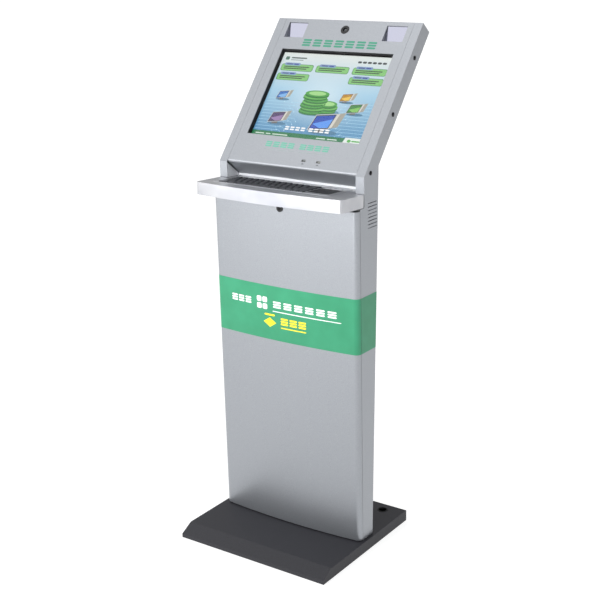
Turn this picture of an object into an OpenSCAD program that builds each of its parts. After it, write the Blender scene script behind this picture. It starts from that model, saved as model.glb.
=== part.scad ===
// Self-service banking kiosk: slim bowed pedestal, keyboard tray and a screen head
// that leans back. Millimetres, +Z up, front towards -Y, origin on the floor under
// the middle of the base.

/* [Base] */
// Width of the base cover
base_w = 500; // [480:10:560]
// Depth of the base cover
base_d = 440; // [420:10:520]
// Height of the base cover
base_h = 33; // [30:1:45]
// Depth of the sloped front edge
base_slope = 40; // [30:5:60]
// Height of the upright lip under the slope
base_lip = 12; // [8:1:16]

/* [Pedestal] */
// Width of pedestal, tray and head
body_w = 480; // [470:2:490]
// How far the front panel bows forward
front_bow = 11; // [6:1:16]
// Radius of the two front corners
corner_r = 16; // [14:1:20]
// Depth of the side plates at the floor
foot_depth = 66; // [60:2:76]
// Sheet thickness
sheet = 2; // [1.5:0.5:2.5]

/* [Head] */
// Lean of the head, in degrees from upright
head_tilt = 39.5; // [36:0.5:42]
// Length of the head along its face
head_len = 478; // [470:2:520]
// Thickness of the head
head_t = 43; // [42:1:48]
// Width of the folded flange at each side of the face
flange_w = 26; // [22:1:28]
// Width of the screen opening
window_w = 371; // [360:1:374]
// Height of the screen opening, along the face
window_h = 281; // [270:1:284]
// Lower edge of the screen opening, along the face
window_s = 95; // [90:1:98]

/* [Keyboard tray] */
// Height of the tray's front top edge
tray_z = 1037; // [1030:1:1045]
// Thickness of the tray
tray_t = 35; // [32:1:38]
// How far the tray stands out in front of the pedestal
tray_reach = 71.5; // [60:0.5:90]
// Fall of the tray towards its back, in degrees
tray_tilt = 3; // [0:0.5:4]
// Spacing of the keys
key_pitch = 19.05; // [19:0.05:19.1]

/* [View] */
// Piece to draw, or all

/* [Hidden] */

// shared clearances and colours
gap = 0.3;            // moving or separate neighbours
running = 0.05;       // radial clearance of a pin in its hole
eps = 0.01;
silver = [0.72, 0.74, 0.77];
charcoal = [0.24, 0.24, 0.27];
black = [0.08, 0.08, 0.09];
steel = [0.62, 0.63, 0.65];
zinc = [0.75, 0.75, 0.72];
green = [0.25, 0.62, 0.45];
board_green = [0.1, 0.4, 0.2];

// pedestal outline: y of the corners' front plane, and where corners meet the sides
half_w = body_w / 2;
front_y = -20;
corner_x = half_w - corner_r;
function bow_radius(c, b) = (c * c + b * b) / (2 * b);
function corner_back(c, b, r) =
    let (big = bow_radius(c, b)) big - b - sqrt(pow(big - r, 2) - c * c);
seam_y = front_y + corner_back(corner_x, front_bow, corner_r);
foot_back_y = front_y + foot_depth;

// head: front bend line, and the bend at the back of the side plates
bend_y = 16;
bend_z = 1077;
back_bend_y = 88;
back_bend_s = (back_bend_y - bend_y - head_t * cos(head_tilt)) / sin(head_tilt);
back_bend_z = bend_z + back_bend_s * cos(head_tilt) - head_t * sin(head_tilt);
rear_lean = atan((back_bend_y - foot_back_y) / (back_bend_z - base_h));
function head_y(s, n) = bend_y + s * sin(head_tilt) + n * cos(head_tilt);
function head_z(s, n) = bend_z + s * cos(head_tilt) - n * sin(head_tilt);

// tray: local frame has y = 0 at the front corners and z = 0 at the top face
tray_y = front_y - tray_reach;
tray_bow = 16;
tray_corner = 10;
tray_depth = bend_y - 2 - tray_y;
tongue_depth = 69 - tray_y;
function tray_over(y) = tray_z - (y - tray_y) * tan(tray_tilt);

// recess behind the keys
jamb_x = half_w - flange_w;
ceiling_s = 3;
lip_r = 8;
recess_back_y = 70;

// door, its pivots and its lock
door_z0 = base_h + 3;
door_z1 = 990;
step_z = 995.5;
door_gap_left = 2;
door_gap_right = 1;
pivot_x = -half_w + 3;
pivot_y = seam_y - 4.5;
pivot_r = 1.5;
pivot_len = 11;
boss_r = 2.4;
lock_z = 977;
lock_r = 9.5;

// green vinyl band
band_z0 = 595;
band_h = 158;
band_t = 0.4;

// keyboard: widths of the keys of each row in key pitches, front row first
key_x0 = -192;
key_y0 = 38;
key_gap = 3.5;
key_top = 3;
key_h = 6;
function ones(n) = [for (i = [1:n]) 1];
bottom_left_keys = [1.5, 1.5];
bottom_right_keys = [1.25, 1.25, 1.25, 1, 1];
space_u = 6.25;
lower_keys = concat([2.25], ones(10), [2.75]);
home_keys = concat([1.75], ones(11), [2.25]);
upper_keys = concat([1.5], ones(12), [1.5]);
number_keys = concat(ones(13), [2]);
function sum_to(v, i) = i <= 0 ? 0 : v[i - 1] + sum_to(v, i - 1);

// keyboard plate and pointer pad, in the tray's frame
plate_x0 = -204;
plate_x1 = 180;
plate_y0 = 32;
plate_y1 = 142;
plate_t = 1.5;
plate_proud = 0.5;
bezel_x0 = 97;
bezel_w = 69;
bezel_y0 = 51;
bezel_d = 69;
button_w = 16;
button_d = 9;
button_x = [104, 123, 142];
button_y = 126;

// screen stack, along the head's normal
glass_n = 12;
glass_t = 2;
lcd_t = 12;
active_w = 365.8;
active_h = 274.4;
window_mid = window_s + window_h / 2;
rail_x = window_w / 2 + 5;

// side fixings and side slots
side_screw_n = 21;
side_screw_s = [25, 203, 380];
slot_count = 8;
slot_pitch = 9.5;
slot_h = 2.4;
slot_y0 = 34;
slot_y1 = 77;
slot_z0 = 936;

// inner frame
upright_x = half_w - sheet - 12.5;
upright_top = 991;
arm_x = half_w - 22;

// equipment
fan_z = 800;
fan_size = 80;
fan_t = 25;
hub_r = 17;
inlet_x = 160;
inlet_z = 110;
rocker_x = 119;
anchor_x = 188;
anchor_y = 186;
anchor_hole_r = 7;
access_r = 12.5;
cable_r = 25;
cable_x = 70;

// ---- frames of reference ----

module on_head() {
    translate([0, bend_y, bend_z]) rotate([-head_tilt, 0, 0]) children();
}

module on_tray() {
    translate([0, tray_y, tray_z]) rotate([-tray_tilt, 0, 0]) children();
}

module on_rear() {
    translate([0, foot_back_y, base_h]) rotate([-rear_lean, 0, 0]) children();
}

// a profile drawn as [y, z], extruded along x from x0 to x1
module along_x(x0, x1) {
    translate([x0, 0, 0]) rotate([90, 0, 90]) linear_extrude(x1 - x0) children();
}

function arc_points(cx, cy, r, a0, a1, n, first, last) =
    [for (i = [first:last]) let (a = a0 + (a1 - a0) * i / n) [cx + r * cos(a), cy + r * sin(a)]];

// plan of a front with a bow, two round corners and straight sides
module bowed_plan(w2, bow, r, depth, inset = 0) {
    c = w2 - r;
    big = bow_radius(c, bow);
    cy = corner_back(c, bow, r);
    a = atan2(cy - big + bow, c);
    polygon(concat(
        arc_points(0, big - bow, big - inset, -180 - a, a, 48, 0, 48),
        arc_points(c, cy, r - inset, a, 0, 16, 1, 16),
        [[w2 - inset, depth], [inset - w2, depth]],
        arc_points(-c, cy, r - inset, -180, -180 - a, 16, 0, 15)));
}

module pedestal_plan(inset = 0, depth = 60) {
    translate([0, front_y]) bowed_plan(half_w, front_bow, corner_r, depth, inset);
}

// outline of a side plate, in y and z
module side_outline() {
    polygon([[seam_y, base_h + gap], [seam_y, step_z], [bend_y, step_z], [bend_y, bend_z],
        [head_y(head_len, 0), head_z(head_len, 0)],
        [head_y(head_len, head_t), head_z(head_len, head_t)],
        [back_bend_y, back_bend_z], [foot_back_y, base_h + gap]]);
}

module button_head(r, h) {
    intersection() {
        cylinder(r = r, h = h, $fn = 32);
        translate([0, 0, h - 2 * r]) sphere(r = 2 * r, $fn = 64);
    }
}

// ---- base ----

module base_plate() color(steel) difference() {
    translate([-base_w / 2 + sheet, -base_d / 2 + 7, 3])
        cube([base_w - 2 * sheet, base_d - 10, 6]);
    for (sx = [-1, 1]) translate([sx * anchor_x, anchor_y, 0])
        cylinder(r = anchor_hole_r, h = 12, $fn = 48);
    translate([cable_x, 12, 0]) cylinder(r = cable_r, h = 12, $fn = 64);
}

module base_cover_profile(inset) {
    y0 = -base_d / 2 + inset;
    polygon([[y0, 0.8], [y0, base_lip - inset / 2], [y0 + base_slope, base_h - inset],
        [base_d / 2 - inset, base_h - inset], [base_d / 2 - inset, 0.8]]);
}

module base_cover() color(charcoal) difference() {
    along_x(-base_w / 2, base_w / 2) base_cover_profile(0);
    translate([0, 0, -eps]) along_x(-base_w / 2 + sheet, base_w / 2 - sheet)
        base_cover_profile(sheet);
    for (sx = [-1, 1]) {
        translate([sx * anchor_x, anchor_y, 20]) cylinder(r = access_r + 1.5, h = 20, $fn = 48);
        translate([sx * upright_x - 13.5, 3, 20]) cube([27, 27, 20]);
    }
    translate([cable_x, 12, 20]) cylinder(r = cable_r, h = 20, $fn = 64);
}

module floor_pads() color(black)
    for (p = [[-215, -180], [215, -180], [0, 0], [-215, 180], [215, 180]])
        translate([p[0], p[1], 0]) cylinder(r = 20, h = 3, $fn = 48);

module anchor_grommets() color(black)
    for (sx = [-1, 1]) translate([sx * anchor_x, anchor_y, base_h]) rotate_extrude($fn = 48)
        polygon([[access_r, -4], [access_r + 1.5, -4], [access_r + 1.5, 0],
            [access_r + 3.5, 0], [access_r + 3, 1], [access_r, 1]]);

// ---- inner frame ----

module upright() difference() {
    translate([upright_x - 12.5, 4, 9]) cube([25, 25, upright_top - 9]);
    translate([upright_x - 12.5 + sheet, 4 + sheet, 8])
        cube([25 - 2 * sheet, 25 - 2 * sheet, upright_top]);
}

module frame_right_upright() color(zinc) upright();
module frame_left_upright() color(zinc) mirror([1, 0, 0]) upright();

module frame_crossbars() color(zinc)
    for (z = [70, 480, upright_top - 20]) difference() {
        translate([-upright_x + 12.5, 9, z]) cube([2 * upright_x - 25, 20, 20]);
        translate([-upright_x, 9 + sheet, z + sheet])
            cube([2 * upright_x, 20 - 2 * sheet, 20 - 2 * sheet]);
    }

// ribs that carry the tray from the tops of the uprights
module tray_arms() color(zinc) for (sx = [0, 1]) mirror([sx, 0, 0]) {
    along_x(arm_x, arm_x + 3) {
        translate([tray_y, tray_z]) rotate(-tray_tilt)
            polygon([[12, -tray_t + 2], [118, -tray_t + 2], [118, -15], [98, -3], [12, -3]]);
        translate([16, upright_top]) square([13, 20]);
    }
    translate([upright_x - 12, 16, upright_top]) cube([arm_x - upright_x + 14, 13, 2]);
}

module equipment_plate() color(zinc) difference() {
    translate([-150, 29, 470]) cube([300, sheet, 505]);
    for (sx = [-1, 1], z = [560, 700, 840]) translate([sx * 135, 28, z]) rotate([-90, 0, 0])
        cylinder(r = 10, h = 4, $fn = 32);
}

// ---- side plates, back and head covers ----

module side_sheet() difference() {
    union() {
        along_x(half_w - sheet, half_w) side_outline();
        along_x(jamb_x, half_w) polygon([[bend_y, tray_over(bend_y) + 0.8], [bend_y, bend_z],
            [head_y(head_len, 0), head_z(head_len, 0)],
            [head_y(head_len, sheet), head_z(head_len, sheet)],
            [bend_y + sheet, bend_z - sheet * tan(head_tilt / 2)],
            [bend_y + sheet, tray_over(bend_y) + 0.8]]);
        on_rear() translate([half_w - 22, -2 * sheet, 4]) cube([20 + eps, sheet, rear_len - 14]);
    }
    rear_screw_places() cylinder(r = 2.5, h = 10, center = true, $fn = 32);
    for (i = [0:slot_count - 1]) translate([half_w - 5, slot_y0, slot_z0 + i * slot_pitch])
        cube([10, slot_y1 - slot_y0, slot_h]);
    on_head() for (s = side_screw_s) translate([half_w - 5, side_screw_n, s]) rotate([0, 90, 0])
        cylinder(r = 2.6, h = 10, $fn = 32);
}

module side_plate_right() color(silver) side_sheet();
module side_plate_left() color(silver) mirror([1, 0, 0]) side_sheet();

rear_len = (back_bend_z - base_h) / cos(rear_lean);
module rear_screw_places() on_rear()
    for (sx = [-1, 1], z = [30, 380, 720, 1020]) translate([sx * 225, 0, z])
        rotate([-90, 0, 0]) children();

module side_screws() color(black)
    for (sx = [0, 1]) mirror([sx, 0, 0]) on_head() for (s = side_screw_s)
        translate([half_w, side_screw_n, s]) rotate([0, 90, 0]) {
            button_head(6, 2.6);
            translate([0, 0, -8]) cylinder(r = 2.5, h = 8, $fn = 32);
        }

module rear_panel() color(silver) difference() {
    on_rear() translate([-half_w + sheet, -sheet, 2])
        cube([body_w - 2 * sheet, sheet, rear_len - 6]);
    on_rear() {
        for (i = [0:11]) translate([-60, -5, fan_z - base_h - 38.25 + i * 7])
            cube([120, 10, 3.5]);
        for (i = [0:7]) translate([-60, -5, 200 + i * 9]) cube([120, 10, 4]);
        translate([inlet_x - 24, -5, inlet_z - base_h - 14]) cube([48, 10, 28]);
        translate([rocker_x - 11, -5, inlet_z - base_h - 14]) cube([22, 10, 28]);
    }
    rear_screw_places() cylinder(r = 2.6, h = 10, center = true, $fn = 32);
}

module rear_screws() color(zinc) rear_screw_places() {
    button_head(5, 2.2);
    translate([0, 0, -8]) cylinder(r = 2.5, h = 8, $fn = 32);
}

fascia_x = jamb_x - 0.5;
ceiling_n = (recess_back_y - bend_y - ceiling_s * sin(head_tilt)) / cos(head_tilt) - 1;
module head_fascia() color(silver) on_head() difference() {
    union() {
        translate([-fascia_x, 0, ceiling_s + lip_r])
            cube([2 * fascia_x, sheet, head_len - ceiling_s - lip_r]);
        translate([-fascia_x, lip_r, ceiling_s])
            cube([2 * fascia_x, ceiling_n - lip_r, sheet]);
        translate([-fascia_x, lip_r, ceiling_s + lip_r]) rotate([0, 90, 0])
            intersection() {
                difference() {
                    cylinder(r = lip_r, h = 2 * fascia_x, $fn = 64);
                    translate([0, 0, -1]) cylinder(r = lip_r - sheet, h = 2 * fascia_x + 2, $fn = 64);
                }
                translate([0, -lip_r - 1, -1]) cube([lip_r + 1, lip_r + 1, 2 * fascia_x + 2]);
            }
    }
    translate([-window_w / 2, -1, window_s]) cube([window_w, 4, window_h]);
    translate([0, -1, 446.5]) rotate([-90, 0, 0]) cylinder(r = 13.3, h = 4, $fn = 64);
    for (sx = [0, 1]) mirror([sx, 0, 0]) translate([132, -1, 415]) cube([65, 4, 50]);
    for (x = [36, 84]) translate([x - 7, -1, 25]) cube([14, 4, 7]);
}

module head_rear_cover() color(silver) on_head() difference() {
    union() {
        translate([-half_w + sheet, sheet, head_len - sheet])
            cube([body_w - 2 * sheet, head_t - sheet, sheet]);
        translate([-half_w + sheet, head_t - sheet, back_bend_s + 1])
            cube([body_w - 2 * sheet, sheet, head_len - back_bend_s - 1]);
    }
    for (sx = [-1, 1], i = [0:9]) translate([sx * 110 - 55, head_t - 5, 330 + i * 9])
        cube([110, 10, 4]);
}

module recess_liner() color(silver) {
    top_z = head_z(ceiling_s, ceiling_n) - 1.2;
    translate([-jamb_x - sheet, recess_back_y, tray_over(recess_back_y) + 0.6])
        cube([2 * (jamb_x + sheet), sheet, top_z - tray_over(recess_back_y) - 0.6]);
    for (sx = [0, 1]) mirror([sx, 0, 0]) along_x(jamb_x, jamb_x + sheet)
        polygon([[bend_y + sheet + gap, tray_over(bend_y) + 0.8],
            [bend_y + sheet + gap, bend_z - 4],
            [recess_back_y + sheet, bend_z - 4 - (recess_back_y - bend_y - gap) * tan(head_tilt) + 3],
            [recess_back_y + sheet, tray_over(recess_back_y + sheet) + 0.8]]);
}

// ---- screen, camera, mirrors, sockets ----

module lcd_gasket() color(black) on_head() difference() {
    translate([-window_w / 2 - 5, sheet, window_s - 5])
        cube([window_w + 10, glass_n - sheet, window_h + 10]);
    translate([-window_w / 2 + 0.6, 0, window_s + 0.6])
        cube([window_w - 1.2, 20, window_h - 1.2]);
}

module touch_glass() color([0.6, 0.75, 0.85, 0.6]) on_head()
    translate([-window_w / 2 - 5, glass_n, window_s - 5])
        cube([window_w + 10, glass_t, window_h + 10]);

module lcd_panel() color(black) on_head() difference() {
    translate([-window_w / 2 - 5, glass_n + glass_t, window_s - 5])
        cube([window_w + 10, lcd_t, window_h + 10]);
    translate([-active_w / 2, glass_n + glass_t - 1, window_mid - active_h / 2])
        cube([active_w, 1.4, active_h]);
}

module lcd_rail() on_head() difference() {
    translate([rail_x, glass_n, 15]) cube([half_w - sheet - rail_x, 22, 380]);
    translate([rail_x + sheet, glass_n + sheet, 14]) cube([half_w - rail_x, 18, 382]);
    translate([rail_x - 2, glass_n - 1, 60]) cube([20, 8, 340]);
    for (s = side_screw_s) translate([half_w - 12, side_screw_n, s]) rotate([0, 90, 0])
        cylinder(r = 2.5, h = 20, $fn = 32);
}

module rail_foot() on_head() for (s = side_screw_s) difference() {
    translate([half_w - sheet - 7, glass_n + sheet, s - 8]) cube([7, 18, 16]);
    translate([half_w - 12, side_screw_n, s]) rotate([0, 90, 0])
        cylinder(r = 2.5, h = 20, $fn = 32);
}

module lcd_rail_right() color(zinc) union() { lcd_rail(); rail_foot(); }
module lcd_rail_left() color(zinc) mirror([1, 0, 0]) union() { lcd_rail(); rail_foot(); }

module lcd_driver_board() color(board_green) on_head() {
    translate([-70, 32, 170]) cube([140, 1.6, 100]);
    for (x = [-62, 62], s = [178, 262]) translate([x, glass_n + glass_t + lcd_t, s])
        rotate([-90, 0, 0]) cylinder(r = 3, h = 32 - glass_n - glass_t - lcd_t, $fn = 24);
    translate([-50, 33.6, 190]) cube([40, 5, 60]);
    translate([10, 33.6, 200]) cube([30, 3, 30]);
}

module webcam_housing() color(black) on_head() translate([0, 0, 446.5]) difference() {
    union() {
        rotate([-90, 0, 0]) translate([0, 0, -1]) cylinder(r = 13, h = 9, $fn = 64);
        translate([-38, sheet, -13]) cube([76, 24, 26]);
    }
    rotate([-90, 0, 0]) translate([0, 0, -2]) cylinder(r = 6.5, h = 8, $fn = 48);
}

module webcam_lens() color([0.15, 0.15, 0.2]) on_head() translate([0, 0, 446.5])
    rotate([-90, 0, 0]) {
        translate([0, 0, 2.4]) cylinder(r = 6.4, h = 3.6, $fn = 48);
        intersection() {
            translate([0, 0, 9.4]) sphere(r = 9, $fn = 64);
            translate([0, 0, 0]) cylinder(r = 5, h = 2.4, $fn = 48);
        }
    }

// mirrors sit in folded pockets and stand more upright than the face
mirror_lean = 15;
mirror_w = 62;
mirror_h = 49;
mirror_back_n = sheet + 0.6 + 3 / cos(mirror_lean) - 1.3 * tan(mirror_lean);
module mirror_pockets() color(silver) on_head()
    for (sx = [0, 1]) mirror([sx, 0, 0]) difference() {
        translate([129, sheet, 412]) cube([71, 19, 56]);
        along_x(131.5, 197.5) polygon([[sheet - 1, 414.5], [sheet - 1, 465.5],
            [mirror_back_n, 465.5], [mirror_back_n + 51 * tan(mirror_lean), 414.5]]);
    }

module mirror_plate() on_head() translate([133.5, sheet + 0.6, 464.2]) rotate([mirror_lean, 0, 0])
    translate([0, 0, -mirror_h]) cube([mirror_w, 3, mirror_h]);

module mirror_right() color([0.75, 0.75, 0.88]) mirror_plate();
module mirror_left() color([0.75, 0.75, 0.88]) mirror([1, 0, 0]) mirror_plate();

module usb_socket(x) color(steel) on_head() translate([x, 0, 28.5]) {
    difference() {
        union() {
            translate([-6.6, 0.2, -3.2]) cube([13.2, 14, 6.4]);
            translate([-9.5, sheet, -6]) cube([19, 1.2, 12]);
        }
        translate([-6, -1, -2.6]) cube([12, 12, 5.2]);
    }
    translate([-5, 2, 0.2]) cube([10, 9.5, 1.8]);
}
module usb_socket_left() usb_socket(36);
module usb_socket_right() usb_socket(84);

// ---- keyboard tray ----

module tray_plan(inset = 0) bowed_plan(half_w, tray_bow, tray_corner, tray_depth, inset);

module tray_shell() color(silver) on_tray() difference() {
    union() {
        translate([0, 0, -tray_t]) linear_extrude(tray_t) tray_plan();
        translate([-jamb_x + 1, tray_depth - 5, -3]) cube([2 * jamb_x - 2, tongue_depth - tray_depth + 5, 3]);
    }
    difference() {
        translate([0, 0, -tray_t - 1]) linear_extrude(tray_t - 2) tray_plan(2.5);
        translate([-300, tray_depth - 2.5, -60]) cube([600, 10, 60]);
    }
    translate([plate_x0, plate_y0, -10]) cube([plate_x1 - plate_x0, plate_y1 - plate_y0, 20]);
    translate([-half_w + 15, tray_depth - 4, -tray_t - 1])
        cube([body_w - 30, 10, tray_t - 2]);
}

module tray_bottom() color(silver) on_tray()
    translate([0, 0, -tray_t + 0.5]) linear_extrude(1.5) difference() {
        tray_plan(2.8);
        translate([-300, tray_depth - 4.3]) square([600, 20]);
    }

key_d = key_pitch - key_gap;
function row_y(i) = key_y0 + i * key_pitch;
right_x0 = key_x0 + (3 + space_u) * key_pitch;

module key_block(widths, y, depth, x0 = key_x0)
    for (i = [0:len(widths) - 1])
        translate([x0 + sum_to(widths, i) * key_pitch + key_gap / 2, y, key_top - key_h])
            cube([widths[i] * key_pitch - key_gap, depth, key_h]);

module key_holes(widths, y, depth, x0 = key_x0)
    for (i = [0:len(widths) - 1])
        translate([x0 + sum_to(widths, i) * key_pitch + key_gap / 2 - gap, y - gap, -5])
            cube([widths[i] * key_pitch - key_gap + 2 * gap, depth + 2 * gap, 10]);

module keyboard_plate() color(steel) on_tray() difference() {
    translate([plate_x0 + gap, plate_y0 + gap, plate_proud - plate_t])
        cube([plate_x1 - plate_x0 - 2 * gap, plate_y1 - plate_y0 - 2 * gap, plate_t]);
    key_holes(bottom_left_keys, row_y(0), key_d);
    key_holes([space_u], row_y(0), key_d, key_x0 + 3 * key_pitch);
    key_holes(bottom_right_keys, row_y(0), key_d, right_x0);
    key_holes(lower_keys, row_y(1), key_d);
    key_holes(home_keys, row_y(2), key_d);
    key_holes(upper_keys, row_y(3), key_d);
    key_holes(number_keys, row_y(4), key_d);
    translate([bezel_x0, bezel_y0, -5]) cube([bezel_w, bezel_d, 10]);
    for (x = button_x) translate([x - gap, button_y - gap, -5])
        cube([button_w + 2 * gap, button_d + 2 * gap, 10]);
}

module keyboard_tub() color(zinc) on_tray() difference() {
    union() {
        translate([plate_x0 + gap, plate_y0 + gap, -14])
            cube([plate_x1 - plate_x0 - 2 * gap, plate_y1 - plate_y0 - 2 * gap, 13.5]);
        translate([plate_x0 - 7, plate_y0 + 14, -5]) cube([plate_x1 - plate_x0 + 14, 50, 2]);
    }
    translate([plate_x0, plate_y0, plate_proud - plate_t]) cube([500, 200, 10]);
    translate([plate_x0 + 1.5, plate_y0 + 1.5, -6.5])
        cube([plate_x1 - plate_x0 - 3, plate_y1 - plate_y0 - 3, 20]);
}

module keys_bottom_row() color(steel) on_tray() {
    key_block(bottom_left_keys, row_y(0), key_d);
    key_block(bottom_right_keys, row_y(0), key_d, right_x0);
}
module space_bar() color(steel) on_tray()
    key_block([space_u], row_y(0), key_d, key_x0 + 3 * key_pitch);
module keys_lower_row() color(steel) on_tray() key_block(lower_keys, row_y(1), key_d);
module keys_home_row() color(steel) on_tray() key_block(home_keys, row_y(2), key_d);
module keys_upper_row() color(steel) on_tray() key_block(upper_keys, row_y(3), key_d);
module keys_number_row() color(steel) on_tray() key_block(number_keys, row_y(4), key_d);

module touchpad_bezel() color(black) on_tray() difference() {
    translate([bezel_x0 + gap, bezel_y0 + gap, -6.5])
        cube([bezel_w - 2 * gap, bezel_d - 2 * gap, 7]);
    translate([bezel_x0 + 4, bezel_y0 + 4, -1]) cube([bezel_w - 8, bezel_d - 8, 4]);
}

module touchpad() color([0.12, 0.12, 0.13]) on_tray()
    translate([bezel_x0 + 4.2, bezel_y0 + 4.2, -1]) cube([bezel_w - 8.4, bezel_d - 8.4, 1.2]);

module pointer_button(x) color(steel) on_tray()
    translate([x, button_y, -3]) cube([button_w, button_d, 5]);
module pointer_button_left() pointer_button(button_x[0]);
module pointer_button_middle() pointer_button(button_x[1]);
module pointer_button_right() pointer_button(button_x[2]);

// ---- pedestal door, band and lock ----

module door_mask() {
    translate([-300, -100]) square([300, 100 + seam_y - door_gap_left]);
    translate([0, -100]) square([300, 100 + seam_y - door_gap_right]);
}

module pivot_block(z0, h) translate([0, 0, z0]) linear_extrude(h) {
    translate([pivot_x, pivot_y]) circle(r = boss_r, $fn = 32);
    intersection() {
        pedestal_plan(0.5);
        translate([-half_w, pivot_y - 12]) square([16, 12]);
    }
}

module pedestal_door() color(silver) difference() {
    union() {
        translate([0, 0, door_z0]) linear_extrude(door_z1 - door_z0) intersection() {
            difference() {
                pedestal_plan();
                pedestal_plan(sheet);
            }
            door_mask();
        }
        for (z = [door_z0, door_z1 - sheet]) translate([0, 0, z]) linear_extrude(sheet)
            intersection() {
                pedestal_plan(0.5);
                translate([-half_w + 10, -100]) square([body_w - 20, 90]);
            }
        pivot_block(door_z0, 14);
        pivot_block(door_z1 - 14, 14);
    }
    for (z = [door_z0 - 1, door_z1 - 12]) translate([pivot_x, pivot_y, z])
        cylinder(r = pivot_r + running, h = 13, $fn = 32);
    translate([0, -60, lock_z]) rotate([-90, 0, 0]) cylinder(r = 9.1, h = 60, $fn = 48);
}

module band_front() color(green) translate([0, 0, band_z0]) linear_extrude(band_h)
    intersection() {
        difference() {
            pedestal_plan(-band_t);
            pedestal_plan();
        }
        translate([0, -0.1]) door_mask();
    }

module band_sides() color(green)
    for (sx = [0, 1]) mirror([sx, 0, 0]) along_x(half_w, half_w + band_t) intersection() {
        side_outline();
        translate([-100, band_z0]) square([300, band_h]);
    }

// a quarter-turn cam lock; the cam turns up behind the keeper's lip
module lock_barrel() color(black) translate([0, front_y - front_bow, lock_z])
    rotate([-90, 0, 0]) difference() {
        union() {
            translate([0, 0, -3]) cylinder(r = lock_r, h = 3, $fn = 64);
            cylinder(r = 9, h = 28, $fn = 48);
            translate([0, 0, sheet]) cylinder(r = 12, h = 4, $fn = 6);
        }
        translate([0, 0, -4]) cylinder(r = 5.5 + running, h = 36, $fn = 48);
    }

module lock_cylinder() color(steel) translate([0, front_y - front_bow, lock_z])
    rotate([-90, 0, 0]) {
        difference() {
            translate([0, 0, -3.4]) cylinder(r = 5.5, h = 34.4, $fn = 48);
            translate([-0.9, -3.5, -4]) cube([1.8, 7, 3]);
        }
        difference() {
            translate([-8, -6, 28.4]) cube([23.5, 12, 2.6]);
            translate([0, 0, 27]) cylinder(r = 4, h = 8, $fn = 32);
        }
    }

module lock_keeper() color(zinc) {
    translate([-9, 5, upright_top]) cube([18, 20, 5]);
    translate([-9, -5.5, upright_top + 3]) cube([18, 12, 2]);
    translate([-9, -5.5, lock_z + 9.3]) cube([18, 2.2, upright_top + 4 - lock_z - 9.3]);
}

// pivot lugs on the frame: reach is where the lug ends at the back
module pivot_arm(z, reach, pin_z) {
    translate([0, 0, z]) linear_extrude(2) {
        translate([pivot_x, pivot_y]) circle(r = boss_r, $fn = 32);
        translate([pivot_x, pivot_y - boss_r]) square([12, 2 * boss_r]);
        translate([pivot_x, pivot_y - boss_r]) square([12, reach - pivot_y + boss_r]);
    }
    translate([pivot_x, pivot_y, pin_z]) cylinder(r = pivot_r, h = pivot_len + eps, $fn = 32);
}

module door_pivots() color(zinc) {
    pivot_arm(base_h + gap, 4, base_h + gap + 2 - eps);
    pivot_arm(door_z1 + 1, 26, door_z1 + 1 - pivot_len);
}

// ---- equipment inside ----

module pc_case() color([0.3, 0.3, 0.32]) difference() {
    translate([-120, -21, 520]) cube([240, 50, 380]);
    translate([-118.5, -19.5, 521.5]) cube([237, 47, 377]);
    for (i = [0:13]) translate([-90, -25, 600 + i * 12]) cube([180, 10, 5]);
}

module pc_mainboard() color(board_green) {
    translate([-85, 22, 560]) cube([170, 1.6, 170]);
    for (x = [-75, 75], z = [570, 720]) translate([x, 23.6, z]) rotate([-90, 0, 0])
        cylinder(r = 3, h = 3.9, $fn = 24);
    translate([-30, -8, 620]) cube([60, 30, 60]);
    translate([-80, 12.5, 740]) cube([100, 15, 146]);
}

module fan_frame() color(black) on_rear() translate([0, -sheet - fan_t, fan_z - base_h])
    difference() {
        translate([-fan_size / 2, 0, -fan_size / 2]) cube([fan_size, fan_t, fan_size]);
        rotate([-90, 0, 0]) difference() {
            translate([0, 0, -1]) cylinder(r = 37.5, h = fan_t + 2, $fn = 96);
            translate([0, 0, -2]) cylinder(r = hub_r, h = 6, $fn = 48);
            for (a = [45, 135]) rotate([0, 0, a]) translate([-45, -3, -2]) cube([90, 6, 5]);
        }
        rotate([-90, 0, 0]) translate([0, 0, 1]) cylinder(r = 2 + running, h = 10, $fn = 32);
    }

module fan_rotor() color([0.15, 0.15, 0.16]) on_rear()
    translate([0, -sheet - fan_t, fan_z - base_h]) rotate([-90, 0, 0]) {
        translate([0, 0, 4.5]) cylinder(r = hub_r, h = 18, $fn = 64);
        translate([0, 0, 1.6]) cylinder(r = 2, h = 3, $fn = 32);
        for (i = [0:6]) rotate([0, 0, i * 360 / 7]) translate([hub_r - 2, 0, 13.5])
            rotate([35, 0, 0]) translate([0, -9, -0.9]) cube([20.5, 18, 1.8]);
    }

module speakers() color(black)
    for (sx = [0, 1]) mirror([sx, 0, 0]) difference() {
        translate([196, 32, 916]) cube([half_w - sheet - 196, 44, 76]);
        translate([half_w - sheet - 6, 54, 954]) rotate([0, 90, 0])
            cylinder(r1 = 10, r2 = 19, h = 8, $fn = 48);
    }

module power_strip() color([0.85, 0.85, 0.83]) difference() {
    translate([-190, -12, 90]) cube([290, 40, 34]);
    for (i = [0:4]) translate([-160 + i * 55, 8, 119]) cylinder(r = 17, h = 8, $fn = 48);
}

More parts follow.
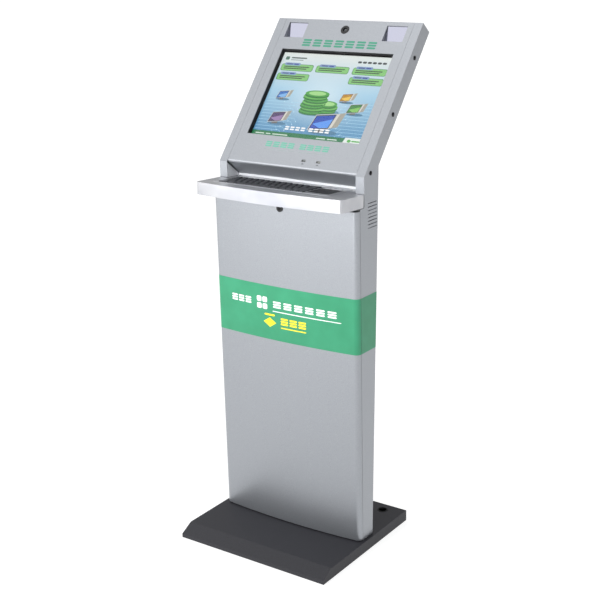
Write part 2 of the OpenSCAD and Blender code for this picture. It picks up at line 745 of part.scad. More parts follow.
// inlet and switch share one moulded frame that snaps into the back panel
module mains_inlet() color(black) on_rear() translate([inlet_x, 0, inlet_z - base_h]) {
    difference() {
        union() {
            translate([-23.7, -20, -13.7]) cube([47.4, 20, 27.4]);
            translate([rocker_x - inlet_x - 10.8, -14, -13.7]) cube([21.6, 14, 27.4]);
            translate([rocker_x - inlet_x - 14, 0, -16]) cube([41 + inlet_x - rocker_x, 2.5, 32]);
        }
        translate([-13, -14, -9]) cube([26, 20, 18]);
        translate([rocker_x - inlet_x - 9.8, -13, -12.8]) cube([19.6, 20, 25.6]);
    }
    for (x = [-7, 0, 7]) translate([x - 1, -15, x == 0 ? 1 : -5]) cube([2, 13, 4]);
    translate([rocker_x - inlet_x - 10, 0, 0]) rotate([0, 90, 0])
        cylinder(r = 2 - running, h = 20, $fn = 32);
}

module rocker_switch() color([0.75, 0.1, 0.1]) on_rear()
    translate([rocker_x - 9.5, 0, inlet_z - base_h]) rotate([0, 90, 0]) rotate(7) difference() {
        cylinder(r = 12, h = 19, $fn = 64);
        translate([-20, 4, -1]) cube([40, 20, 21]);
        translate([0, 0, -1]) cylinder(r = 2, h = 21, $fn = 32);
    }

base_plate();
base_cover();
floor_pads();
anchor_grommets();
frame_left_upright();
frame_right_upright();
frame_crossbars();
tray_arms();
equipment_plate();
side_plate_left();
side_plate_right();
side_screws();
rear_panel();
rear_screws();
head_fascia();
head_rear_cover();
recess_liner();
lcd_gasket();
touch_glass();
lcd_panel();
lcd_rail_left();
lcd_rail_right();
lcd_driver_board();
webcam_housing();
webcam_lens();
mirror_pockets();
mirror_left();
mirror_right();
usb_socket_left();
usb_socket_right();
tray_shell();
tray_bottom();
keyboard_plate();
keyboard_tub();
touchpad_bezel();
touchpad();
keys_number_row();
keys_upper_row();
keys_home_row();
keys_lower_row();
keys_bottom_row();
space_bar();
pointer_button_left();
pointer_button_middle();
pointer_button_right();
pedestal_door();
band_front();
band_sides();
lock_barrel();
lock_cylinder();
lock_keeper();
door_pivots();
pc_case();
pc_mainboard();
fan_frame();
fan_rotor();
speakers();
power_strip();
mains_inlet();
rocker_switch();
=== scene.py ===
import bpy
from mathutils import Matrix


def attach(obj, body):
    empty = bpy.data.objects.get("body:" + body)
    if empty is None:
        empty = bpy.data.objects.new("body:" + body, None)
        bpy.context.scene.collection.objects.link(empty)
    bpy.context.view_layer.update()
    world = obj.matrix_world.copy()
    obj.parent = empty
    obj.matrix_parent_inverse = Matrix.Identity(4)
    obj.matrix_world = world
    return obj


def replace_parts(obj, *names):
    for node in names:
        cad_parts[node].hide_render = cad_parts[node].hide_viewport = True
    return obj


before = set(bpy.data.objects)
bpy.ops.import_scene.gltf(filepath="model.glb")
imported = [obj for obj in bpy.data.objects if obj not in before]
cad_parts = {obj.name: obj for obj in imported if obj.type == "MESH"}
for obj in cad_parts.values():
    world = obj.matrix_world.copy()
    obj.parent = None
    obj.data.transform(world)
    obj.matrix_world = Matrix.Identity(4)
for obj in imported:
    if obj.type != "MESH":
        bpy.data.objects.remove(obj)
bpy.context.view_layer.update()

import math

import bpy
import numpy as np
from mathutils import Matrix

# ---------------------------------------------------------------- sheet metal body
# Side plates, bowed door, head panel and covers are 2 mm steel sheet, laser cut and folded,
# then sprayed with a silver metallic powder coat and baked. The coat has a fine orange peel
# and small aluminium flakes, so it reads as grey with a soft wide gloss.


def linear(hex_colour):
    """Turns an sRGB hex colour such as 'C3C7CE' to linear RGBA."""
    c = np.array([int(hex_colour[i:i + 2], 16) for i in (0, 2, 4)]) / 255
    c = np.where(c <= 0.04045, c / 12.92, ((c + 0.055) / 1.055) ** 2.4)
    return (*c.tolist(), 1.0)


def add_node(tree, kind, inputs=None, links=None, **settings):
    """Adds a node with its settings, its socket values and the sockets that feed it."""
    node = tree.nodes.new(kind)
    for key, value in settings.items():
        setattr(node, key, value)
    for key, value in (inputs or {}).items():
        node.inputs[key].default_value = value
    for key, socket in (links or {}).items():
        tree.links.new(socket, node.inputs[key])
    return node


def new_material(name, colour, roughness, metallic=0.0, **sockets):
    """A material with its shader set from uniform values, and its object coordinates."""
    material = bpy.data.materials.new(name)
    material.use_nodes = True
    tree = material.node_tree
    tree.nodes.clear()
    values = {"Base Color": linear(colour), "Roughness": roughness, "Metallic": metallic}
    values.update({key.replace("_", " "): value for key, value in sockets.items()})
    shader = add_node(tree, "ShaderNodeBsdfPrincipled", values)
    add_node(tree, "ShaderNodeOutputMaterial", links={"Surface": shader.outputs[0]})
    add_node(tree, "ShaderNodeTexCoord")
    return material


def break_up(material, cell_mm, stretch=(1, 1, 1), detail=2.0, tones=None, gloss=None,
             relief=None):
    """Breaks up a finish with a noise of cells cell_mm across, stretched along the axes.

    tones are the two close hex colours that the noise runs between, gloss the lowest and
    highest roughness, and relief the height of its bumps in mm and their strength."""
    tree = material.node_tree
    shader = tree.nodes["Principled BSDF"]
    coords = tree.nodes["Texture Coordinate"].outputs["Object"]
    mapped = add_node(tree, "ShaderNodeMapping", {"Scale": [1 / s for s in stretch]},
                      {"Vector": coords}).outputs[0]
    noise = add_node(tree, "ShaderNodeTexNoise", {"Scale": 1000 / cell_mm, "Detail": detail},
                     {"Vector": mapped}).outputs["Fac"]
    if tones:
        ramp = add_node(tree, "ShaderNodeValToRGB", links={"Fac": noise})
        for stop, place, tone in zip(ramp.color_ramp.elements, (0.3, 0.7), tones):
            stop.position = place
            stop.color = linear(tone)
        tree.links.new(ramp.outputs["Color"], shader.inputs["Base Color"])
    if gloss:
        limits = add_node(tree, "ShaderNodeMapRange", {"To Min": gloss[0], "To Max": gloss[1]},
                          {"Value": noise})
        tree.links.new(limits.outputs[0], shader.inputs["Roughness"])
    if relief:
        bump = add_node(tree, "ShaderNodeBump",
                        {"Distance": relief[0] / 1000, "Strength": relief[1]},
                        {"Height": noise})
        tree.links.new(bump.outputs[0], shader.inputs["Normal"])


def finish(material, *nodes):
    """Gives a finish to parts whose shape is already right."""
    for node in nodes:
        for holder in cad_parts[node].material_slots:
            holder.material = material


# flakes are drawn coarser than the real ones, which are about 0.1 mm, so that they show
FLAKE_MM = 1.6
silver = new_material(
    "silver metallic powder coat", "9DA0A6", 0.38, 0.7, Coat_Weight=0.15, Coat_Roughness=0.2)
break_up(silver, FLAKE_MM, tones=("969AA0", "A6A9AE"))
break_up(silver, 40.0, gloss=(0.35, 0.41))
break_up(silver, 2.5, relief=(0.05, 0.22))
finish(silver, "side_plate_left", "side_plate_right", "pedestal_door", "head_fascia",
       "head_rear_cover", "rear_panel", "mirror_pockets", "speakers")

# painted light: the recess behind the keys gets a paler silver with fewer flakes than the
# body, so the shaded recess stays light
liner_painted_pale = new_material("silver coat painted pale against shade", "E2E4E8", 0.45, 0.1)
break_up(liner_painted_pale, FLAKE_MM, tones=("DCDEE2", "E8EAEE"))
break_up(liner_painted_pale, 40.0, gloss=(0.42, 0.5))
finish(liner_painted_pale, "recess_liner")

# ---------------------------------------------------------------- tray
# The tray and the keyboard's plate are folded stainless steel, ground to a satin finish from
# left to right. The front edge catches the light, and the top mirrors the shade above it.

# the strokes are drawn 1 mm apart, coarser than real grinding, so that they show
satin = new_material("satin ground tray steel", "C4C5CA", 0.32, 0.75)
break_up(satin, 90.0, (1.5, 1, 1), tones=("A6A8B0", "C4C5C8"))
break_up(satin, 1.0, (40, 1, 1), 3.0, gloss=(0.28, 0.38), relief=(0.02, 0.2))
finish(satin, "tray_shell", "tray_bottom", "keyboard_plate")

# ---------------------------------------------------------------- base
# A 6 mm steel plate stands on five rubber pads under a folded cover. The cover is sprayed
# in a charcoal textured powder coat, with a sand-like grain that breaks up every highlight.

# the grain is drawn 2.2 mm across, coarser than the real one, so that it shows
charcoal = new_material(
    "charcoal textured powder coat", "2E2E33", 0.55, Specular_IOR_Level=0.4)
break_up(charcoal, 2.2, detail=3.0, tones=("28282D", "35353B"), gloss=(0.48, 0.62),
         relief=(0.25, 0.4))
finish(charcoal, "base_cover", "pc_case")

# the plate's paint is a dull black whose gloss is slightly uneven
black_paint = new_material("black chassis paint", "222224", 0.5)
break_up(black_paint, 12.0, gloss=(0.45, 0.6))
finish(black_paint, "base_plate")

# moulded rubber is dull and nearly black; its fine skin is drawn coarser than life
rubber = new_material("moulded black rubber", "19191B", 0.75)
break_up(rubber, 1.5, relief=(0.1, 0.3))
finish(rubber, "floor_pads", "anchor_grommets", "lcd_gasket")

# ---------------------------------------------------------------- inner frame
# Square tubes, crossbars, ribs and rails are cut from zinc plated steel. The plating is
# bluish grey, dull, and faintly clouded in patches a few centimetres across.

zinc = new_material("zinc plated steel", "A9ACAD", 0.42, 1.0)
break_up(zinc, 30.0, detail=4.0, tones=("9EA2A4", "B6B8B6"))
break_up(zinc, 8.0, gloss=(0.36, 0.5))
finish(zinc, "frame_left_upright", "frame_right_upright", "frame_crossbars", "tray_arms",
       "equipment_plate", "lcd_rail_left", "lcd_rail_right", "keyboard_tub", "lock_keeper",
       "door_pivots", "rear_screws", "usb_socket_left", "usb_socket_right")

# the oxide turns machined steel nearly black and leaves it a faint metallic shine
black_oxide = new_material("black oxide screw steel", "1B1B1E", 0.4, 0.6)
break_up(black_oxide, 3.0, gloss=(0.34, 0.48))
finish(black_oxide, "side_screws", "lock_cylinder")

# ---------------------------------------------------------------- band and its print
# A strip of green self-adhesive vinyl wraps the pedestal. White and yellow marks are cut
# from the same film and laid on it. The marks are plain shapes that say nothing.

# the front is an arc: half its chord, the place of its ends, and its bow, in mm
CORNER_X, FRONT_Y, FRONT_BOW = 224.0, -20.0, 11.0
FRONT_BOW_R = (CORNER_X ** 2 + FRONT_BOW ** 2) / (2 * FRONT_BOW)
FRONT_BOW_Y = FRONT_Y - FRONT_BOW + FRONT_BOW_R
MM = 0.001


def ribbon(edge_a, edge_b, low, high):
    """A flat solid strip between two edge curves of (u, v), from height low to high.

    At each step along the edges the section is the rectangle a-low, b-low, b-high, a-high;
    the sections are joined in turn, and both ends are capped."""
    a, b = np.asarray(edge_a, float), np.asarray(edge_b, float)
    n = len(a)
    lows, highs = np.full((n, 1), low), np.full((n, 1), high)
    sections = np.stack([np.hstack([a, lows]), np.hstack([b, lows]),
                         np.hstack([b, highs]), np.hstack([a, highs])], axis=1)
    i = np.arange(n - 1)[:, None]
    k = np.arange(4)[None, :]
    j, m = i + 1, (k + 1) % 4
    faces = np.stack([i * 4 + k, i * 4 + m, j * 4 + m, j * 4 + k], axis=-1).reshape(-1, 4)
    last = (n - 1) * 4
    ends = [[3, 2, 1, 0], [last, last + 1, last + 2, last + 3]]
    return sections.reshape(-1, 3), np.vstack([faces, ends])


def bar(u0, u1, v, height, low, high, steps=10):
    """A bar with round ends: half its height follows a quarter circle at each end.

    The steps crowd towards both ends, as the cosine of an even angle does."""
    r = height / 2
    u = u0 + (u1 - u0) * (1 - np.cos(np.linspace(0, np.pi, steps + 1))) / 2
    d = np.clip(np.minimum(u - u0, u1 - u), 0.02 * r, r)
    h = np.sqrt(r * r - (r - d) ** 2)
    return ribbon(np.c_[u, v - h], np.c_[u, v + h], low, high)


def tile(u0, u1, v, height, r, low, high, steps=6):
    """A bar whose corners are quarter circles of radius r."""
    t = np.linspace(0.05, np.pi / 2, steps)
    d = r * (1 - np.cos(t))
    h = height / 2 - r + r * np.sin(t)
    u = np.concatenate([u0 + d, (u1 - d)[::-1]])
    h = np.concatenate([h, h[::-1]])
    return ribbon(np.c_[u, v - h], np.c_[u, v + h], low, high)


def ellipse(u, v, ru, rv, low, high, steps=28):
    """A disc: its lower and upper halves are the two edges of a strip."""
    t = np.linspace(0.02, np.pi - 0.02, steps)
    x = u - ru * np.cos(t)
    return ribbon(np.c_[x, v - rv * np.sin(t)], np.c_[x, v + rv * np.sin(t)], low, high)


def quad(p0, p1, p2, p3, low, high):
    """A flat four-cornered patch; p0 to p1 is its lower edge and p3 to p2 its upper one."""
    return ribbon([p0, p1], [p3, p2], low, high)


def around_front(p):
    """Bends (across, height, outwards) in mm round the bowed front, about its own arc."""
    angle = p[:, 0] / FRONT_BOW_R
    r = FRONT_BOW_R + p[:, 2]
    return np.c_[r * np.sin(angle), FRONT_BOW_Y - r * np.cos(angle), p[:, 1]] * MM


def add_piece(name, points, faces, material, body, smooth=True, paint=None):
    """A piece whose place is in its points; paint gives each point its own colour."""
    mesh = bpy.data.meshes.new(name)
    mesh.from_pydata(np.asarray(points).tolist(), [], [list(map(int, f)) for f in faces])
    mesh.polygons.foreach_set("use_smooth", [smooth] * len(mesh.polygons))
    if paint is not None:
        layer = mesh.color_attributes.new("paint", "FLOAT_COLOR", "POINT")
        layer.data.foreach_set("color", np.asarray(paint, float).ravel())
    mesh.materials.append(material)
    piece = bpy.data.objects.new(name, mesh)
    bpy.context.collection.objects.link(piece)
    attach(piece, body)
    return piece


def join(shapes):
    """Puts (points, faces) pairs into one list of points and one of faces."""
    points, faces, start = [], [], 0
    for p, f in shapes:
        points.append(p)
        faces.extend([[corner + start for corner in face] for face in f])
        start += len(p)
    return np.vstack(points), faces


def coloured(marks):
    """Joins (shape, hex colour) marks, and gives each of their points its colour."""
    points, faces = join([shape for shape, _ in marks])
    return points, faces, np.vstack([np.tile(linear(c), (len(s[0]), 1)) for s, c in marks])


def print_marks(name, marks, place, body):
    """Lays coloured flat marks, given as (shape, hex colour), on a surface."""
    points, faces, paint = coloured(marks)
    add_piece(name, place(points), faces, ink, body, False, paint)


def block(left, width, middle, pitch, height, film, colour):
    """Three bars, one above the other, laid where a letter would stand."""
    return [(bar(left, left + width, middle + k * pitch, height, *film), colour)
            for k in (-1, 0, 1)]


# cast film is an even green with a soft gloss and a very slight ripple
vinyl = new_material("green cast vinyl film", "2F9169", 0.34)
break_up(vinyl, 60.0, tones=("2C8D65", "33966E"))
break_up(vinyl, 3.0, relief=(0.03, 0.2))
finish(vinyl, "band_front", "band_sides")

# the marks' film is matt, so each colour looks flat and even
ink = new_material("matt cut film", "FFFFFF", 0.45)
tree = ink.node_tree
paint = add_node(tree, "ShaderNodeVertexColor", layer_name="paint")
tree.links.new(paint.outputs["Color"], tree.nodes["Principled BSDF"].inputs["Base Color"])

WHITE_FILM, YELLOW_FILM = "F4F7F4", "F2E52A"
# the film lies between these heights in mm above the door, clear of the band
FILM = (0.4, 0.7)
WHITE_ROW, YELLOW_ROW = 700, 654
band_marks = []
for left, width in [(-182, 21), (-157, 20), (-132, 21), (-33, 27), (3, 27), (39, 27), (75, 27),
                    (111, 27), (147, 28)]:
    band_marks += block(left, width, WHITE_ROW, 7, 4.9, FILM, WHITE_FILM)
for u in (-82, -62):
    for v in (WHITE_ROW - 10, WHITE_ROW + 10):
        band_marks.append((tile(u - 8, u + 8, v, 16, 4, *FILM), WHITE_FILM))
band_marks.append((bar(-35, 189, WHITE_ROW - 20, 2.4, *FILM, steps=40), WHITE_FILM))
band_marks.append((quad((-68, 646), (-46, 632), (-24, 646), (-46, 660), *FILM), YELLOW_FILM))
band_marks.append((bar(-64, -28, 668, 5.2, *FILM), YELLOW_FILM))
for left in (-8, 22, 52):
    band_marks += block(left, 25, YELLOW_ROW, 7.5, 5.2, FILM, YELLOW_FILM)
band_marks.append((bar(-8, 77, 635, 3.2, *FILM, steps=20), YELLOW_FILM))
print_marks("band_marks", band_marks, around_front, "front_door")

# ---------------------------------------------------------------- head panel print
# The head panel carries a row of green film marks over the screen and two rows under it,
# plus a small dark mark over each socket. All are plain shapes in place of lettering.

# the head leans back by TILT from the upright, from a bend at this place in mm
TILT = math.radians(39.5)
BEND_Y, BEND_Z = 16.0, 1077.0


def on_head(p, depth=0.0):
    """Takes (across, along the face, outwards) in mm to the leaning head's face."""
    n = depth - p[:, 2]
    y = BEND_Y + p[:, 1] * math.sin(TILT) + n * math.cos(TILT)
    z = BEND_Z + p[:, 1] * math.cos(TILT) - n * math.sin(TILT)
    return np.c_[p[:, 0], y, z] * MM


HEAD_FILM = (0.0, 0.25)
FILM_GREEN, PALE_GREEN, FILM_GREY, SOCKET_GREY = "38866D", "5C9F8B", "8C9496", "4A4C50"
head_marks = []
for i in range(7):
    head_marks += block(-124 + i * 36.2, 28, 399, 8.6, 6.0, HEAD_FILM, FILM_GREEN)
for left in (-108, -83, -58, -33, 6, 31, 56, 81):
    head_marks += block(left, 20.5, 69, 6, 4.2, HEAD_FILM, PALE_GREEN)
for left, right in [(-108, -70), (-64, -32), (-26, -8), (8, 96)]:
    head_marks.append((bar(left, right, 52, 2.6, *HEAD_FILM), FILM_GREY))
for x in (36, 84):
    head_marks.append((bar(x - 4, x + 4, 18.5, 1.8, *HEAD_FILM, steps=6), SOCKET_GREY))
    head_marks.append((bar(x - 0.9, x + 0.9, 20.5, 1.6, *HEAD_FILM, steps=6), SOCKET_GREY))
print_marks("head_marks", head_marks, on_head, "kiosk")

# ---------------------------------------------------------------- screen
# An 18 inch panel sits behind a 2 mm touch glass in a black foam frame. Its picture is lit
# from behind: a blue page with green tiles, two stacks of tokens, drawn monitors and a footer.

# the picture's width and height, its middle's place up the face, and its depth, in mm
ACTIVE_W, ACTIVE_H, ACTIVE_S = 365.0, 273.6, 235.5
PICTURE_DEPTH = 14.38
SPOT_W, SPOT_H, SPOT_V = 90, 60, -5


def on_screen(p):
    """Takes (across, up, outwards) from the picture's middle to the leaning panel."""
    return on_head(p + [0, ACTIVE_S, 0], PICTURE_DEPTH)


def page_colour(u, v):
    """Runs from deep blue at the foot to sky blue at 0.55 of the height, then to pale grey.

    A spot at height SPOT_V lightens it by 0.6 exp(-(across / SPOT_W)^2 - (up / SPOT_H)^2)."""
    top = np.array(linear("E4EAE6")[:3])
    middle = np.array(linear("A4D0E8")[:3])
    low = np.array(linear("3C86B8")[:3])
    h = np.clip((v / ACTIVE_H + 0.5), 0, 1)[:, None]
    base = np.where(h > 0.55, middle + (top - middle) * (h - 0.55) / 0.45,
                    low + (middle - low) * h / 0.55)
    glow = np.exp(-((u / SPOT_W) ** 2 + ((v - SPOT_V) / SPOT_H) ** 2))[:, None] * 0.6
    return base + (np.array(linear("E8F6FA")[:3]) - base) * glow


us = np.linspace(-ACTIVE_W / 2, ACTIVE_W / 2, 41)
vs = np.linspace(-ACTIVE_H / 2, ACTIVE_H / 2, 31)
grid_u, grid_v = np.meshgrid(us, vs)
page = np.c_[grid_u.ravel(), grid_v.ravel(), np.zeros(grid_u.size)]
index = np.arange(grid_u.size).reshape(grid_u.shape)
page_faces = np.stack([index[:-1, :-1], index[:-1, 1:], index[1:, 1:], index[1:, :-1]],
                      axis=-1).reshape(-1, 4)
page_paint = np.c_[page_colour(page[:, 0], page[:, 1]), np.ones(len(page))]

LAYER = 0.03
screen_marks = []


def level(k):
    """Heights of the k-th drawn layer above the page."""
    return (LAYER * k, LAYER * (k + 0.6))


def mark(shape, colour):
    """Adds one coloured shape to the picture."""
    screen_marks.append((shape, colour))


LINE_BLUE, NODE_BLUE = "A9D8EE", "CFEBF6"
# fine circuit lines run in from the two sides, each with two short branches that turn down
for side in (-1, 1):
    for i in range(11):
        x0, y0 = side * 180, -14 - i * 10
        x1 = side * (98 - (i * 37) % 46)
        mark(bar(min(x0, x1), max(x0, x1), y0, 1.3, *level(1)), LINE_BLUE)
        for x, y in ((x1, y0), (x1 + side * 26, y0)):
            mark(quad((x - 0.6, y), (x + 0.7, y), (x + 0.7 - side * 9, y - 9),
                      (x - 0.6 - side * 9, y - 9), *level(1)), LINE_BLUE)
            mark(ellipse(x - side * 9, y - 10, 1.6, 1.6, *level(1), steps=8), NODE_BLUE)
# marks along the top, in place of a heading
mark(tile(-171, -158, 118, 11, 3, *level(1)), "3D6B5A")
mark(bar(-152, -98, 120, 4.2, *level(1)), "4B5B58")
mark(bar(-152, -108, 113, 2.2, *level(1)), "7F8E8C")
for i in range(6):
    mark(bar(74 + i * 16, 87 + i * 16, 117, 6.5, *level(1), steps=8), "2F3A3C")
# tiles with a tab and two lines of marks each
for u, v in [(-120, 88), (-122, 57), (0, 88), (122, 88), (122, 57)]:
    mark(tile(u - 55, u + 55, v, 23, 6, *level(2)), "2C7352")
    mark(tile(u - 53.5, u + 53.5, v, 20, 5, *level(3)), "84C873")
    mark(tile(u - 46, u + 8, v + 11, 9, 4, *level(4)), "7B98C6")
    mark(bar(u - 40, u - 18, v + 11, 3, *level(5)), "2E4A7A")
    mark(bar(u - 14, u + 2, v + 11, 4, *level(5)), "2E4A9A")
    mark(bar(u - 46, u + 42, v + 2.5, 3.2, *level(4)), "1F4A2A")
    mark(bar(u - 46, u + 34, v - 3.5, 3.2, *level(4)), "1F4A2A")
# two stacks of green tokens in the middle
for u, v, count, width in ((-16, -50, 7, 40), (34, -44, 3, 30)):
    mark(ellipse(u + 8, v - 3, width * 1.15, 9, *level(2)), "5F94AE")
    for k in range(count):
        shift = 3 * math.sin(2.1 * k)
        mark(ellipse(u + shift, v + 9 * k, width, 10, *level(3 + 2 * k)), "2A7A34")
        mark(ellipse(u + shift, v + 9 * k + 5, width, 10, *level(4 + 2 * k)),
             ("4FA648", "6BBB58")[k % 2])
    mark(ellipse(u + shift, v + 9 * k + 5.5, width * 0.72, 6.5, *level(5 + 2 * k)), "A6DB8C")


def monitor(u, v, size, dark, light):
    """A monitor seen from one side: shadow, shell, foot, bezel and a two-tone picture."""
    def patch(corners, layer, colour):
        """A quad whose corners (a, b) are sheared to (a + b / 4, b + 0.12 a)."""
        mark(quad(*[(u + size * (a + 0.25 * b), v + size * (b + 0.12 * a))
                    for a, b in corners], *level(layer)), colour)

    mark(ellipse(u + size * 3, v - size * 19, size * 27, size * 4.5, *level(2)), "4A7FA0")
    patch([(12, -15), (30, -11), (30, 15), (12, 13)], 3, "A8A498")
    patch([(14, -13), (20, -12), (20, 14), (14, 12)], 4, "DAD6CA")
    patch([(-9, -20), (10, -20), (7, -13), (-5, -13)], 3, "6C6A66")
    patch([(-23, -15), (16, -15), (16, 14), (-23, 14)], 5, "C9CBCF")
    patch([(-21.5, -13.5), (14.5, -13.5), (14.5, 12.5), (-21.5, 12.5)], 6, "20242E")
    patch([(-20, -12), (13, -12), (13, 11), (-20, 11)], 7, dark)
    patch([(-20, -3), (-2, -12), (13, -12), (13, 4)], 8, light)


monitor(-128, 0, 0.85, "2F6FC0", "7FB8EE")
monitor(84, 4, 0.85, "C08A1E", "F0C850")
monitor(124, -28, 1.0, "3C8A3A", "86C860")
monitor(-116, -72, 1.15, "4C3468", "9A7CB0")
monitor(42, -76, 1.75, "1E4CB8", "5C9CF4")
# two rows of white blocks, and the footer
for i in range(8):
    left = -78 + i * 18 + (8 if i > 3 else 0)
    for k in range(2):
        mark(bar(left, left + 14, -109 + k * 7, 4.6, *level(10), steps=8), "FFFFFF")
half_w, half_h = ACTIVE_W / 2, ACTIVE_H / 2
mark(quad((-half_w, -half_h), (half_w, -half_h), (half_w, -half_h + 17),
          (-half_w, -half_h + 17), *level(3)), "1F7A4A")
mark(quad((122, -half_h), (half_w, -half_h), (half_w, -half_h + 19), (128, -half_h + 19),
          *level(4)), "E9F2EC")
mark(ellipse(142, -half_h + 9, 6, 4.5, *level(5)), "57B352")
for left, right in [(-170, -140), (-134, -118), (-112, -60), (36, 66), (72, 104)]:
    mark(bar(left, right, -half_h + 8.5, 3.0, *level(4)), "DDEFE2")
mark(bar(150, 176, -half_h + 9, 4.0, *level(5)), "57B352")

# the panel glows in the picture's own colours, so light from outside hardly changes them
lit = new_material("backlit liquid crystal panel", "0A0A0C", 0.3, Emission_Strength=0.92)
tree = lit.node_tree
paint = add_node(tree, "ShaderNodeVertexColor", layer_name="paint")
tree.links.new(paint.outputs["Color"], tree.nodes["Principled BSDF"].inputs["Emission Color"])
mark_points, mark_faces, mark_paint = coloured(screen_marks)
all_points, all_faces = join([(page, page_faces), (mark_points, mark_faces)])
add_piece("screen_picture", on_screen(all_points), all_faces, lit, "kiosk", False,
          np.vstack([page_paint, mark_paint]))

# the panel's pressed steel rim is black and half glossy, and shows as a thin dark edge
module_black = new_material("black display bezel steel", "101012", 0.4)
break_up(module_black, 5.0, gloss=(0.35, 0.45))
finish(module_black, "lcd_panel")

# clear float glass; the low IOR stands in for a coat that makes it mirror less
touch = new_material(
    "clear touch glass", "FFFFFF", 0.03, Transmission_Weight=1.0, IOR=1.22)
break_up(touch, 80.0, gloss=(0.0, 0.02))
finish(touch, "touch_glass")

# ---------------------------------------------------------------- mirrors and camera
# Two small mirrors let the user see who stands behind. They are float glass with a
# silvered back, in folded pockets. Between them is a camera in a black ABS shell.

# the mirrors look bright and a little blue, and blur what they reflect
mirror = new_material("silvered float glass", "C2C3D4", 0.1, 1.0)
break_up(mirror, 30.0, gloss=(0.07, 0.14))
finish(mirror, "mirror_left", "mirror_right")

# moulded ABS is black and half dull; its fine texture is drawn coarser than life
abs_black = new_material("black moulded ABS", "141416", 0.45)
break_up(abs_black, 1.2, relief=(0.06, 0.3))
break_up(abs_black, 10.0, gloss=(0.4, 0.52))
finish(abs_black, "webcam_housing", "touchpad_bezel", "lock_barrel", "fan_frame",
       "fan_rotor", "mains_inlet")

# coated glass is almost black, with a small sharp highlight
lens = new_material(
    "coated camera glass", "0C0E18", 0.08, Specular_IOR_Level=0.8, Coat_Weight=0.6)
break_up(lens, 6.0, gloss=(0.05, 0.1))
finish(lens, "webcam_lens")

# ---------------------------------------------------------------- keyboard
# An industrial keyboard: short stainless caps stand through a satin steel plate. The caps are
# painted dark: painted shade for the dark recess that their tops reflect. Each cap is a
# pressed block with a wide bevel, and a flat top that is brushed from left to right.

TRAY_TILT = math.radians(3.0)
TRAY_Y, TRAY_Z = FRONT_Y - 71.5, 1037.0
PITCH, KEY_GAP, KEY_X, KEY_Y = 19.05, 3.5, -192.0, 38.0


def on_tray(p):
    """Takes (across, back, up) in mm to the tray, which falls three degrees to the back."""
    y = TRAY_Y + p[:, 1] * math.cos(TRAY_TILT) + p[:, 2] * math.sin(TRAY_TILT)
    z = TRAY_Z - p[:, 1] * math.sin(TRAY_TILT) + p[:, 2] * math.cos(TRAY_TILT)
    return np.c_[p[:, 0], y, z] * MM


def cap(x0, x1, y0, y1, foot=-3.0, top=3.0):
    """One key cap: rounded rectangles stacked from the foot, up the bevel, to the flat top.

    A ring at inset i is the rectangle shrunk by i, with corners of radius 1.6 - i but not
    under 0.3; the heights go up the wall, follow the bevel with soft edges, and end flat."""
    insets = np.array([0, 0, 0.1, 0.4, 1.2, 1.6, 2.0, 5.6])
    heights = np.array([foot, top - 1.5, top - 1.2, top - 0.9, top - 0.15, top - 0.03, top,
                        top])
    rings, n = len(insets), 24
    t = np.linspace(0, 2 * np.pi, n, endpoint=False) + np.pi / n
    cx, cy = (x0 + x1) / 2, (y0 + y1) / 2
    radius = np.maximum(1.6 - insets, 0.3)[:, None]
    hx = (x1 - x0) / 2 - insets[:, None] - radius
    hy = (y1 - y0) / 2 - insets[:, None] - radius
    x = cx + np.sign(np.cos(t)) * np.maximum(hx, 0.05) + radius * np.cos(t)
    y = cy + np.sign(np.sin(t)) * np.maximum(hy, 0.05) + radius * np.sin(t)
    z = np.repeat(heights[:, None], n, axis=1)
    i = np.arange(rings - 1)[:, None]
    k = np.arange(n)[None, :]
    m = (k + 1) % n
    walls = np.stack([i * n + k, i * n + m, (i + 1) * n + m, (i + 1) * n + k], axis=-1)
    faces = walls.reshape(-1, 4).tolist()
    faces += [list(range((rings - 1) * n, rings * n)), list(range(n - 1, -1, -1))]
    return np.c_[x.ravel(), y.ravel(), z.ravel()], faces


# the brushing lines are drawn 0.8 mm apart, coarser than real ones, so that they show
# the caps' dark grey is painted shade, standing in for the dark recess their tops reflect
key_steel_painted_dark = new_material("brushed key steel painted dark for shade", "505256", 0.34, 1.0)
break_up(key_steel_painted_dark, 0.8, (30, 1, 1), 3.0, tones=("484A4E", "5A5C60"), gloss=(0.28, 0.4),
         relief=(0.03, 0.25))
finish(satin, "pointer_button_left", "pointer_button_middle", "pointer_button_right")

# widths of the keys of each row in key pitches, front row first
WIDTHS = [[1.5, 1.5, 6.25, 1.25, 1.25, 1.25, 1.0, 1.0], [2.25] + [1.0] * 10 + [2.75],
          [1.75] + [1.0] * 11 + [2.25], [1.5] + [1.0] * 12 + [1.5], [1.0] * 13 + [2.0]]
# place of the space bar in the front row
SPACE = 2


def key_caps(name, node, body, row, chosen):
    """The caps at the chosen places of a row, which move as one."""
    shapes, u = [], 0.0
    y0 = KEY_Y + row * PITCH
    for place, width in enumerate(WIDTHS[row]):
        x0 = KEY_X + u * PITCH + KEY_GAP / 2
        if place in chosen:
            shapes.append(cap(x0, x0 + width * PITCH - KEY_GAP, y0, y0 + PITCH - KEY_GAP))
        u += width
    points, faces = join(shapes)
    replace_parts(add_piece(name, on_tray(points), faces, key_steel_painted_dark, body), node)


for row, name in ((4, "number"), (3, "upper"), (2, "home"), (1, "lower")):
    key_caps(f"caps_{name}", f"keys_{name}_row", f"{name}_keys", row, range(len(WIDTHS[row])))
key_caps("cap_space", "space_bar", "space_key", 0, [SPACE])
key_caps("caps_bottom", "keys_bottom_row", "bottom_keys", 0,
         [place for place in range(len(WIDTHS[0])) if place != SPACE])

# the film is black and half dull, so the touchpad shows as a flat dark patch
pad = new_material("satin black touch film", "161618", 0.38)
break_up(pad, 1.0, gloss=(0.34, 0.44))
finish(pad, "touchpad")

# ---------------------------------------------------------------- equipment
# Behind the door are a small computer, a fan, speakers and a power strip. Boards are green
# glass-fibre laminate under lacquer; the strip and rocker are moulded plastics.

